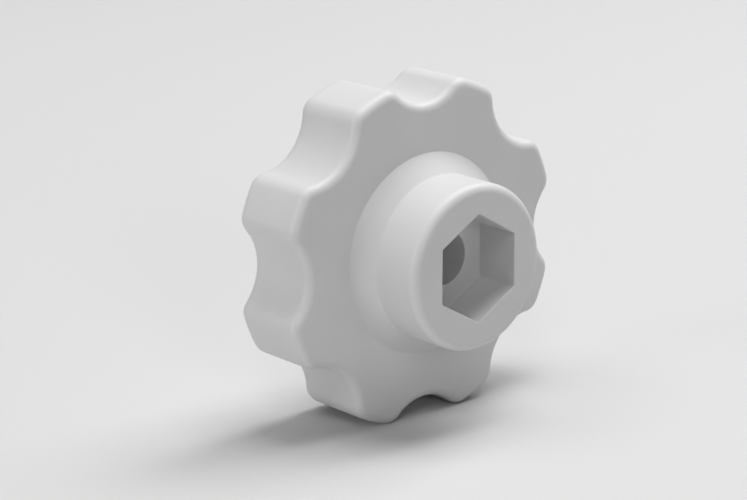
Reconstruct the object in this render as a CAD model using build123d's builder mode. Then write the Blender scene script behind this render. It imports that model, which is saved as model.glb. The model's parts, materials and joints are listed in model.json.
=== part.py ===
from build123d import *
import os

# Star knob for an M6 hexagon nut or bolt head, moulded in one piece.
#
# The knob stands on two neighbouring lobes, with its bore level along Y. The
# origin is on the bore's axis, in the flat back of the head, and the hub
# points to -Y. All sizes are in millimetres.

# Head: a disc with finger flutes around it, and a lobe between each two flutes
head_diameter = 38.0
head_thickness = 10.0
lobe_count = 8
flute_radius = 5.7
flute_depth = 2.7
lobe_corner_radius = 2.0
front_edge_radius = 1.0
back_edge_radius = 2.0

# Hub: a round boss on a conical collar
collar_diameter = 22.0
collar_height = 2.0
boss_diameter = 18.0
boss_height = 6.0
boss_edge_radius = 1.0

# Hexagon socket in the boss's end (an M6 nut is 10 across its flats), and the bolt's bore
socket_across_flats = 10.2
socket_depth = 5.4
bore_diameter = 6.0

# Lengths along the axis, from the flat back
collar_end = head_thickness + collar_height
boss_end = collar_end + boss_height

# Both planes face -Y, with X across and Z up
back_plane = Plane.XZ
end_plane = back_plane.offset(boss_end)

# A flute's centre lies outside the disc, so that its arc bites in by the flute's depth
flute_centre_radius = head_diameter / 2 - flute_depth + flute_radius

with BuildPart() as star_knob:
    # Head: the first flute faces straight down, between the two lobes that the knob stands on
    with BuildSketch(back_plane) as head_outline:
        Circle(head_diameter / 2)
        with PolarLocations(flute_centre_radius, lobe_count, start_angle=-90):
            Circle(flute_radius, mode=Mode.SUBTRACT)
        fillet(head_outline.vertices(), radius=lobe_corner_radius)
    extrude(amount=head_thickness)

    # The rim is rounder at the back, where the palm rests, than at the front
    back_face = star_knob.faces().sort_by(Axis.Y).last
    fillet(back_face.edges(), radius=back_edge_radius)
    front_face = star_knob.faces().sort_by(Axis.Y).first
    fillet(front_face.edges(), radius=front_edge_radius)

    # Hub: half of its section, turned about the bore's axis
    with BuildSketch(Plane.XY) as hub_section:
        with BuildLine():
            Polyline(
                (0, -head_thickness),
                (collar_diameter / 2, -head_thickness),
                (boss_diameter / 2, -collar_end),
                (boss_diameter / 2, -boss_end),
                (0, -boss_end),
                close=True,
            )
        make_face()
        boss_rim = hub_section.vertices().group_by(Axis.Y)[0].sort_by(Axis.X).last
        fillet(boss_rim, radius=boss_edge_radius)
    revolve(axis=Axis.Y)

    # Hexagon socket, with a corner up and a corner down
    with BuildSketch(end_plane):
        RegularPolygon(socket_across_flats / 2, side_count=6, major_radius=False, rotation=90)
    extrude(amount=-socket_depth, mode=Mode.SUBTRACT)

    # The bolt's bore, through the socket's floor and out of the back
    with Locations(end_plane):
        Hole(bore_diameter / 2)

star_knob.part.label = "star_knob"

os.makedirs("parts", exist_ok=True)
export_step(star_knob.part, "parts/star_knob.step")
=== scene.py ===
# %% [markdown]
# # A moulded star knob
#
# This lesson dresses a star knob for an M6 nut or bolt: a scalloped head, a hub
# on a conical collar, and a hexagon socket in the hub's end. The real knob is
# one piece of light grey nylon, shot into a steel mould.
#
# The solid model comes first. It fixes the place and the size of everything
# that follows, and nothing here moves it.

# %% Load the solid model
import json
from math import atan2, cos, pi, radians, sin, tan

import bmesh
import bpy
import numpy as np
from mathutils import Matrix, Vector


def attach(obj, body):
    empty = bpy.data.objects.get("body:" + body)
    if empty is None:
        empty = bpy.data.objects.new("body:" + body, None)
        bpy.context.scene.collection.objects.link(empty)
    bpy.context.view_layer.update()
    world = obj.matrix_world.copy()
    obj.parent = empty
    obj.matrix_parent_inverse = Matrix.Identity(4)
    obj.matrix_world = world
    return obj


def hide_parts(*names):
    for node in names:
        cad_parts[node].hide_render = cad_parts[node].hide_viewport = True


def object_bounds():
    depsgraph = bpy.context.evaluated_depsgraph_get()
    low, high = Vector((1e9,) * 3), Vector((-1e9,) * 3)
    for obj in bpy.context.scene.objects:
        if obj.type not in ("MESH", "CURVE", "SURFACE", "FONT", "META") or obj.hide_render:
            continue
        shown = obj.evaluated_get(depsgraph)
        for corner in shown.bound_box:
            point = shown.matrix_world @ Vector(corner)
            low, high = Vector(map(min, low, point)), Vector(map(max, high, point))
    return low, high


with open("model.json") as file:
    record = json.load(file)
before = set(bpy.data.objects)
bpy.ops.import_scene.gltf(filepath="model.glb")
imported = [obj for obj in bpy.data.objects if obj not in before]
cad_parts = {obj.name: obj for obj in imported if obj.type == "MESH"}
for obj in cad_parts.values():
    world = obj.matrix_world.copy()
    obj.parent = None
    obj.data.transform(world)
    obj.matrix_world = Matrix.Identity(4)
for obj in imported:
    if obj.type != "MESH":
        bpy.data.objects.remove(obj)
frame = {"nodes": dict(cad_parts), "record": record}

solid_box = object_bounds()
MM = 0.001
box_low = np.array(solid_box[0]) / MM
box_high = np.array(solid_box[1]) / MM
print("solid model from", box_low.round(2), "to", box_high.round(2), "mm")

# %% [markdown]
# ## Sizes
#
# A knob is thought of in millimetres, so the sizes below are too. They turn into
# metres once, when the mesh is made.
#
# The bore runs along Y. The head's flat back is at Y = 0, the hub points to -Y,
# and Z is up. The knob's length, its bore and the socket's floor come from the
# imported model. The rest are the sizes that a drawing of the knob would give.

# %% Name the sizes
HEAD_RADIUS = 19.0
HEAD_THICKNESS = 10.0
LOBES = 8
FLUTE_RADIUS = 5.7
FLUTE_DEPTH = 2.7
LOBE_CORNER = 2.0
FRONT_EDGE = 1.0
BACK_EDGE = 2.0
COLLAR_RADIUS = 11.0
COLLAR_HEIGHT = 2.0
BOSS_RADIUS = 9.0
BOSS_EDGE = 1.0
SOCKET_ACROSS_FLATS = 10.2
SOCKET_SIDES = 6

bolt_bore = next(m for m in frame["record"]["mounts"] if m["name"] == "bolt_bore")
BORE_RADIUS = bolt_bore["dims"]["r_mm"]
BACK = box_high[1]
BOSS_END = box_low[1]
SOCKET_FLOOR = BACK - bolt_bore["dims"]["length_mm"]
HEAD_FRONT = BACK - HEAD_THICKNESS
COLLAR_END = HEAD_FRONT - COLLAR_HEIGHT
print("bore", 2 * BORE_RADIUS, "mm across, socket floor at Y =", round(SOCKET_FLOOR, 2), "mm")

# %% [markdown]
# ## One grid round the bore
#
# Every surface of the knob goes once round the bore, so the whole skin can be a
# single grid. Its columns are rays at equal turns round the axis, and its rows
# are rings that follow the section from the bore's back mouth, over the head and
# the hub, into the socket, and home along the bore.
#
# The alternatives are booleans of simple bodies, or a subdivided cage. Booleans
# leave long slivers where the flutes meet the faces, and a cage only comes near
# the true arcs. In the grid each arc keeps its radius.
#
# With half a degree between columns, the middles of the flutes and of the lobes
# and the six corners of the hexagon all fall on a column.

# %% Lay out the columns
COLUMNS = 720
turn = 2 * pi * np.arange(COLUMNS) / COLUMNS
radial = np.stack([np.cos(turn), np.zeros(COLUMNS), np.sin(turn)], axis=1)
TO_BACK = np.array([0.0, 1.0, 0.0])
TO_FRONT = -TO_BACK
print(COLUMNS, "columns,", round(HEAD_RADIUS * turn[1], 3), "mm apart at the head's edge")


def off_nearest(count):
    """The angle from each column to the nearest of count equal turns, the first at zero.

    It is the remainder of the angle by one step, shifted to lie on both sides of zero.
    """
    step = 2 * pi / count
    return (turn + step / 2) % step - step / 2


def ray_to_circle(angle, distance, radius, side):
    """How far along a ray it meets a circle whose centre is that far off, at that angle.

    From the law of cosines: distance cos(angle) plus or minus the square root of
    radius^2 - (distance sin(angle))^2. A side of -1 is the circle's near side, and +1 its far one.
    """
    half_chord = np.sqrt(np.maximum(radius**2 - (distance * np.sin(angle)) ** 2, 0.0))
    return distance * np.cos(angle) + side * half_chord


# %% [markdown]
# ## The head's outline
#
# Seen along the bore, the head is a disc with a flute bitten out of it every
# 45 degrees. Each flute is an arc of a circle whose centre lies outside the disc,
# and a smaller arc rounds the lobe's corner on each side of it. Fingers need
# that corner, and so does the mould, which would wear quickly at a sharp one.
#
# A corner's centre is found from its distances: one corner radius inside the
# disc's edge, and one flute radius plus one corner radius from the flute's
# centre. The law of cosines turns them into an angle off the flute's middle.
# The two arcs touch on the line between their centres.

# %% Find where the arcs meet
flute_centre = HEAD_RADIUS - FLUTE_DEPTH + FLUTE_RADIUS
corner_centre = HEAD_RADIUS - LOBE_CORNER
between = FLUTE_RADIUS + LOBE_CORNER
corner_angle = np.arccos(
    (corner_centre**2 + flute_centre**2 - between**2) / (2 * corner_centre * flute_centre)
)
corner_from_flute = np.array(
    [corner_centre * cos(corner_angle) - flute_centre, corner_centre * sin(corner_angle)]
)
touch = np.array([flute_centre, 0.0]) + FLUTE_RADIUS / between * corner_from_flute
touch_angle = atan2(touch[1], touch[0])
print("the flute ends", round(np.degrees(touch_angle), 1), "degrees off its middle")
print("the lobe's corner ends", round(np.degrees(corner_angle), 1), "degrees off it")

# %% [markdown]
# ## Points and directions on the outline
#
# A ray from the axis crosses the outline once, in one of the three kinds of arc.
# Besides the point, the rounds need the direction straight out of the wall
# there. On an arc that is the line through its centre, so it is exact.

# %% Compute the outline
def outline():
    """The head's edge as one point and one outward direction in each column.

    The ray meets the near side of the flute's circle up to the touching angle, the far side of
    the corner's circle up to the corner's own angle, and the disc from there. Outward is away
    from the arc's centre, except on a flute, where it is towards the centre.
    """
    off = off_nearest(LOBES)
    on_flute = np.abs(off) < touch_angle
    on_corner = ~on_flute & (np.abs(off) < corner_angle)
    near = ray_to_circle(off, flute_centre, FLUTE_RADIUS, -1)
    far = ray_to_circle(np.abs(off) - corner_angle, corner_centre, LOBE_CORNER, 1)
    reach = np.where(on_flute, near, np.where(on_corner, far, HEAD_RADIUS))
    points = reach[:, None] * radial

    centre_turn = turn - off + np.where(on_corner, np.sign(off) * corner_angle, 0.0)
    centre_reach = np.where(on_flute, flute_centre, np.where(on_corner, corner_centre, 0.0))
    to_centre = np.stack([np.cos(centre_turn), np.zeros(COLUMNS), np.sin(centre_turn)], axis=1)
    outward = points - centre_reach[:, None] * to_centre
    outward /= np.linalg.norm(outward, axis=1)[:, None]
    outward[on_flute] *= -1
    return points, outward


edge, outward = outline()
print("the head is", round(np.ptp(edge[:, 2]), 3), "mm tall")

# %% [markdown]
# ## The socket's outline
#
# The hexagon takes the head of the bolt or a nut, and keeps it from turning. Its
# corners point up and down. A steel core forms it, ground to flats, so its inner
# corners keep only the tiny radius of the grinding wheel.

# %% Compute the hexagon
SOCKET_CORNER = 0.2


def hexagon():
    """The socket's wall as one point in each column.

    Near a flat's middle the ray's reach is the flat's distance over the cosine of the angle off
    it. Near a corner it is the far side of a small circle that touches both flats.
    """
    flat = SOCKET_ACROSS_FLATS / 2
    half_side = pi / SOCKET_SIDES
    off = off_nearest(SOCKET_SIDES)
    circle_distance = (flat - SOCKET_CORNER) / cos(half_side)
    flat_ends = atan2((flat - SOCKET_CORNER) * tan(half_side), flat)
    on_corner = ray_to_circle(half_side - np.abs(off), circle_distance, SOCKET_CORNER, 1)
    reach = np.where(np.abs(off) < flat_ends, flat / np.cos(off), on_corner)
    return reach[:, None] * radial


socket = hexagon()
print("the socket is", round(np.ptp(socket[:, 0]), 2), "mm across its flats")
print("and", round(np.ptp(socket[:, 2]), 2), "mm across its corners")

# %% [markdown]
# ## Rounded edges
#
# The head has a large round at the back, where the palm rests, and a smaller one
# at the front. The hub's rim has the same round as the front. The other edges
# are crisp, but a moulded edge is never a razor's: the steel has a small radius
# there, and it catches a thread of light.
#
# One function makes both kinds. It needs the ring of corners and the directions
# in which the two surfaces leave it. Rings close to each round hold the flat
# faces flat, so their shading does not roll towards the edge.

# %% Round an edge
CRISP = 0.1
HOLD = 0.06


def unit(vectors):
    """The same directions at length one: each vector over the root of its summed squares."""
    return vectors / np.linalg.norm(vectors, axis=-1, keepdims=True)


def round_edge(corner, before, after, radius, steps):
    """Rings that replace a corner by an arc, from the surface before it to the one after it.

    With half the angle between the surfaces, the arc touches each at radius / tan(half) from the
    corner, and its centre is radius / sin(half) along the bisector. Each ring is a spherical
    blend of the two directions from the centre to the touching points.
    """
    before = unit(np.broadcast_to(before, corner.shape))
    after = unit(np.broadcast_to(after, corner.shape))
    half = np.arccos(np.sum(before * after, axis=1)) / 2
    centre = corner + unit(before + after) * (radius / np.sin(half))[:, None]
    start = unit(corner + before * (radius / np.tan(half))[:, None] - centre)
    end = unit(corner + after * (radius / np.tan(half))[:, None] - centre)
    swing = pi - 2 * half
    part = np.linspace(0.0, 1.0, steps + 1)[:, None]
    from_start = np.sin((1 - part) * swing) / np.sin(swing)
    from_end = np.sin(part * swing) / np.sin(swing)
    blend = from_start[:, :, None] * start + from_end[:, :, None] * end
    return centre + radius * blend


def hold(first, second):
    """Two rings on the straight run between two others, each a short step from its own end."""
    step = HOLD * unit(second - first)
    return np.stack([first + step, second - step])


# %% [markdown]
# ## The section, edge by edge
#
# The list below reads like a finger going round the section. Each entry is a
# ring of corners, the directions in which it is reached and left, the radius,
# and the number of steps in the round. A larger round gets more steps, and the
# shallow corners at the collar get fewer.

# %% Follow the section
LARGE, MEDIUM, SMALL, SHALLOW = 12, 10, 4, 3


def at(plan, y):
    """A ring: the points of a plan, moved to that Y."""
    return plan + y * TO_BACK


bore = BORE_RADIUS * radial
boss = BOSS_RADIUS * radial
collar = COLLAR_RADIUS * radial
cone = unit(boss - collar + (COLLAR_END - HEAD_FRONT) * TO_BACK)
edges = [
    ("bore's back mouth", at(bore, BACK), TO_FRONT, radial, CRISP, SMALL),
    ("head's back edge", at(edge, BACK), -outward, TO_FRONT, BACK_EDGE, LARGE),
    ("head's front edge", at(edge, HEAD_FRONT), TO_BACK, -outward, FRONT_EDGE, MEDIUM),
    ("collar's foot", at(collar, HEAD_FRONT), radial, cone, CRISP, SHALLOW),
    ("collar's top", at(boss, COLLAR_END), -cone, TO_FRONT, CRISP, SHALLOW),
    ("hub's rim", at(boss, BOSS_END), TO_BACK, -radial, BOSS_EDGE, MEDIUM),
    ("socket's mouth", at(socket, BOSS_END), radial, TO_BACK, CRISP, SMALL),
    ("socket's floor", at(socket, SOCKET_FLOOR), TO_FRONT, -radial, CRISP, SMALL),
    ("bore's inner mouth", at(bore, SOCKET_FLOOR), radial, TO_BACK, CRISP, SMALL),
]
rounds = [round_edge(*entry[1:]) for entry in edges]
rings = []
for index, arc in enumerate(rounds):
    following = rounds[(index + 1) % len(rounds)]
    rings += [arc, hold(arc[-1], following[0])]
skin = np.concatenate(rings)
for entry, arc in zip(edges, rounds):
    print(f"{entry[0]:20} radius {entry[4]:3} mm, {len(arc)} rings")
print(len(skin), "rings in all")

# %% [markdown]
# ## From rings to a mesh
#
# The grid closes both ways: the last column meets the first, and the last ring
# meets the first one. That makes a ring doughnut, which is what a body with one
# hole is.
#
# The head's back round is as large as the lobe's corner, so the columns of a
# corner run together there into one point. Those points are welded.

# %% Write the mesh functions
WELD_DISTANCE = 1e-7


def make_skin(name, rings):
    """A closed mesh from rings of points: one quad between each four neighbours, wrapping round."""
    count, columns = rings.shape[:2]
    index = np.arange(count * columns).reshape(count, columns)
    right = np.roll(index, -1, axis=1)
    right_below = np.roll(right, -1, axis=0)
    below = np.roll(index, -1, axis=0)
    quads = np.stack([index, right, right_below, below], axis=-1)
    mesh = bpy.data.meshes.new(name)
    mesh.vertices.add(count * columns)
    mesh.vertices.foreach_set("co", (rings * MM).ravel())
    mesh.loops.add(quads.size)
    mesh.loops.foreach_set("vertex_index", quads.ravel())
    mesh.polygons.add(quads.size // 4)
    mesh.polygons.foreach_set("loop_start", np.arange(0, quads.size, 4))
    mesh.update(calc_edges=True)
    return mesh


def weld(mesh):
    """Joins points that lie together, and counts the edges that don't have a face on each side."""
    work = bmesh.new()
    work.from_mesh(mesh)
    bmesh.ops.remove_doubles(work, verts=work.verts, dist=WELD_DISTANCE)
    open_edges = sum(len(e.link_faces) != 2 for e in work.edges)
    work.to_mesh(mesh)
    work.free()
    return open_edges


def volume(mesh):
    """The volume in a closed mesh in mm3: a sixth of the sum of a . (b x c) over its triangles."""
    mesh.calc_loop_triangles()
    corners = np.empty(3 * len(mesh.loop_triangles), dtype=np.int32)
    mesh.loop_triangles.foreach_get("vertices", corners)
    points = np.empty(3 * len(mesh.vertices))
    mesh.vertices.foreach_get("co", points)
    a, b, c = points.reshape(-1, 3)[corners].reshape(-1, 3, 3).swapaxes(0, 1) / MM
    return np.sum(a * np.cross(b, c)) / 6


# %% [markdown]
# ## The knob's skin
#
# The volume is a good test of the whole grid. A positive one says that the faces
# point outwards, and it should agree with the solid model's to a few parts in
# ten thousand.

# %% Build the skin
mesh = make_skin("knob_body", skin)
open_edges = weld(mesh)
mesh.shade_smooth()
body = bpy.data.objects.new("knob_body", mesh)
bpy.context.scene.collection.objects.link(body)
print("volume", round(volume(mesh), 1), "mm3")
print("solid model", round(volume(frame["nodes"]["star_knob"].data), 1), "mm3")
print(len(mesh.vertices), "points,", len(mesh.loop_triangles), "triangles")
print(open_edges, "open edges")

# %% [markdown]
# ## Colours and nodes
#
# Colours are written as a paint chart gives them, and one function turns them
# linear. Another one adds a shader node with everything that belongs to it.

# %% Write the material helpers
def linear(hex_colour):
    """A colour written as #RRGGBB in sRGB, turned linear.

    Above 0.04045 a channel c becomes ((c + 0.055) / 1.055)^2.4, and below it c / 12.92.
    """
    srgb = np.array([int(hex_colour[i : i + 2], 16) for i in (1, 3, 5)]) / 255
    low = srgb / 12.92
    high = ((srgb + 0.055) / 1.055) ** 2.4
    return (*np.where(srgb <= 0.04045, low, high).tolist(), 1.0)


def add_node(tree, kind, settings=None, values=None, links=None):
    """One shader node with its settings, its sockets' own values, and what feeds the others."""
    node = tree.nodes.new(kind)
    for name, value in (settings or {}).items():
        setattr(node, name, value)
    for name, value in (values or {}).items():
        node.inputs[name].default_value = value
    for name, source in (links or {}).items():
        tree.links.new(source, node.inputs[name])
    return node


def new_material(name):
    """An empty node material and the node that its surface goes to."""
    material = bpy.data.materials.new(name)
    material.use_nodes = True
    material.node_tree.nodes.clear()
    return material, add_node(material.node_tree, "ShaderNodeOutputMaterial")


print("white is", linear("#FFFFFF"))

# %% [markdown]
# ## The look of the nylon
#
# Light grey polyamide, as it comes off the machine. The mould was finished by
# spark erosion, so the surface is an even satin with a very fine grain, and
# there is no paint on it. Nylon's refractive index is 1.53, it is not a metal,
# and a spark-eroded face gives a roughness near 0.5.
#
# The grain is some tenths of a millimetre wide and a few thousandths deep. The
# pigment is mixed into the melt, so the colour is almost even: it drifts by a
# few shades over some millimetres, as the melt flowed round the core.

# %% Make the nylon
NYLON_IOR = 1.53
NYLON_ROUGHNESS = 0.5
GRAIN_WIDTH = 0.3
GRAIN_DEPTH = 0.004
DRIFT_WIDTH = 7.0


def noise(tree, place, width, detail):
    """Noise whose lumps are about that many millimetres wide: its scale is one over the width."""
    return add_node(
        tree,
        "ShaderNodeTexNoise",
        values={"Scale": 1 / (width * MM), "Detail": detail, "Roughness": 0.5},
        links={"Vector": place.outputs["Object"]},
    )


def nylon(name, dark, light):
    """Moulded polyamide: a colour between two shades, a satin sheen and a bump from fine noise."""
    material, output = new_material(name)
    tree = material.node_tree
    place = add_node(tree, "ShaderNodeTexCoord")
    grain = noise(tree, place, GRAIN_WIDTH, 2.0)
    drift = noise(tree, place, DRIFT_WIDTH, 3.0)
    bump = add_node(
        tree,
        "ShaderNodeBump",
        values={"Strength": 1.0, "Distance": GRAIN_DEPTH * MM},
        links={"Height": grain.outputs["Fac"]},
    )
    # A colour mix takes its share at socket 0 and its two colours at 6 and 7, and gives socket 2.
    shade = add_node(
        tree,
        "ShaderNodeMix",
        settings={"data_type": "RGBA"},
        values={6: linear(dark), 7: linear(light)},
        links={0: drift.outputs["Fac"]},
    )
    surface = add_node(
        tree,
        "ShaderNodeBsdfPrincipled",
        values={"IOR": NYLON_IOR, "Metallic": 0.0, "Roughness": NYLON_ROUGHNESS},
        links={"Base Color": shade.outputs[2], "Normal": bump.outputs["Normal"]},
    )
    tree.links.new(surface.outputs["BSDF"], output.inputs["Surface"])
    return material


body.data.materials.append(nylon("grey_nylon", "#C6C6C6", "#CECECE"))
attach(body, "root")
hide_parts("star_knob")
print("grain", GRAIN_WIDTH, "mm wide and", GRAIN_DEPTH, "mm deep")

# %% [markdown]
# ## The floor
#
# The knob stands on two of its lobes, on a large pale sheet. The sheet is dull,
# so the knob's own shape is all there is to see.

# %% Lay the floor
FLOOR_SIZE = 6.0
FLOOR_IOR = 1.5
FLOOR_ROUGHNESS = 0.8


def plain(name, colour):
    """An even, dull surface: one colour and one roughness."""
    material, output = new_material(name)
    surface = add_node(
        material.node_tree,
        "ShaderNodeBsdfPrincipled",
        values={"Base Color": linear(colour), "IOR": FLOOR_IOR, "Roughness": FLOOR_ROUGHNESS},
    )
    material.node_tree.links.new(surface.outputs["BSDF"], output.inputs["Surface"])
    return material


bpy.ops.mesh.primitive_plane_add(size=FLOOR_SIZE, location=(0, 0, solid_box[0][2]))
floor = bpy.context.object
floor.name = "floor"
floor.data.materials.append(plain("pale_sheet", "#C8C8C8"))
print("floor at Z =", round(floor.location.z / MM, 3), "mm")

# %% [markdown]
# ## The background
#
# Past the floor's edge there is only the world. What it shows and what light it
# gives are two different things in a studio, so it has two colours. The one to
# look at is pale. The light is faint, and only keeps the shadows open.

# %% Set the background
AMBIENT = 0.02


def background(seen, light):
    """A pale background to look at, and a separate faint light from all round.

    Camera, glossy and transmitted rays see the first colour. All other rays get the second one.
    """
    world = bpy.data.worlds.new("studio")
    bpy.context.scene.world = world
    world.use_nodes = True
    tree = world.node_tree
    tree.nodes.clear()
    path = add_node(tree, "ShaderNodeLightPath")
    mirror = add_node(
        tree,
        "ShaderNodeMath",
        settings={"operation": "MAXIMUM"},
        links={0: path.outputs["Is Glossy Ray"], 1: path.outputs["Is Transmission Ray"]},
    )
    shows = add_node(
        tree,
        "ShaderNodeMath",
        settings={"operation": "MAXIMUM"},
        links={0: path.outputs["Is Camera Ray"], 1: mirror.outputs[0]},
    )
    glow = add_node(
        tree, "ShaderNodeBackground", values={"Color": linear(light), "Strength": AMBIENT}
    )
    backdrop = add_node(
        tree, "ShaderNodeBackground", values={"Color": linear(seen), "Strength": 1.0}
    )
    mix = add_node(
        tree,
        "ShaderNodeMixShader",
        links={0: shows.outputs[0], 1: glow.outputs[0], 2: backdrop.outputs[0]},
    )
    add_node(tree, "ShaderNodeOutputWorld", links={"Surface": mix.outputs[0]})


background("#D8D8D8", "#FFFFFF")
print("ambient light at", AMBIENT, "of white")

# %% [markdown]
# ## Lamps
#
# Most of the light comes from above, from three large lamps near the head's own
# plane. They only graze its flat faces, so the hub stands out by its bright top.
# Two small lamps, at the upper left and at the front, reach into the socket, and
# one from the left keeps the flutes on that side clear.
#
# Each row gives the direction to the lamp, its width in metres and its power in
# watts. All of them hang one metre away.

# %% Hang the lamps
LAMP_DISTANCE = 1.0
SOFT = 0.5
CLEAR = 0.25
lamps = [
    ("top", (0.1, -0.05, 1.0), SOFT, 5.7),
    ("top_right", (0.6, 0.0, 0.8), SOFT, 5.7),
    ("top_left", (-0.3, 0.3, 0.9), SOFT, 2.0),
    ("left", (-1.0, 0.1, 0.1), CLEAR, 2.6),
    ("upper_left", (-0.5, -0.5, 0.7), CLEAR, 1.3),
    ("front", (-0.35, -0.9, 0.35), CLEAR, 1.2),
]


def hang(name, towards, width, power):
    """A square area lamp in that direction from the knob, facing it."""
    data = bpy.data.lights.new(name, "AREA")
    data.size = width
    data.energy = power
    light = bpy.data.objects.new(name, data)
    bpy.context.scene.collection.objects.link(light)
    aim = Vector(towards).normalized()
    light.location = LAMP_DISTANCE * aim
    light.rotation_euler = aim.to_track_quat("Z", "Y").to_euler()


for row in lamps:
    hang(*row)
print(len(lamps), "lamps,", round(sum(row[3] for row in lamps), 1), "W in all")

# %% [markdown]
# ## Camera
#
# A long lens from a quarter of a metre: near enough to look a little down on the
# hub, far enough to keep the head's lobes alike in size.

# %% Place the camera
CAMERA_PLACE = Vector((-168.0, -197.0, 71.6)) * MM
CAMERA_AIM = Vector((0.6263, 0.7303, -0.2727))
CAMERA_ROLL = radians(-0.273)
LENS = 118.05
SENSOR_WIDTH = 36.0
NEAREST = 0.01

camera_data = bpy.data.cameras.new("camera")
camera_data.lens = LENS
camera_data.sensor_width = SENSOR_WIDTH
camera_data.clip_start = NEAREST
camera = bpy.data.objects.new("camera", camera_data)
bpy.context.scene.collection.objects.link(camera)
level = CAMERA_AIM.to_track_quat("-Z", "Y").to_matrix()
rolled = level @ Matrix.Rotation(CAMERA_ROLL, 3, "Z")
camera.matrix_world = Matrix.Translation(CAMERA_PLACE) @ rolled.to_4x4()
bpy.context.scene.camera = camera
bpy.context.scene.view_settings.view_transform = "Standard"
print("camera", round(CAMERA_PLACE.length / MM), "mm from the bore's back mouth")
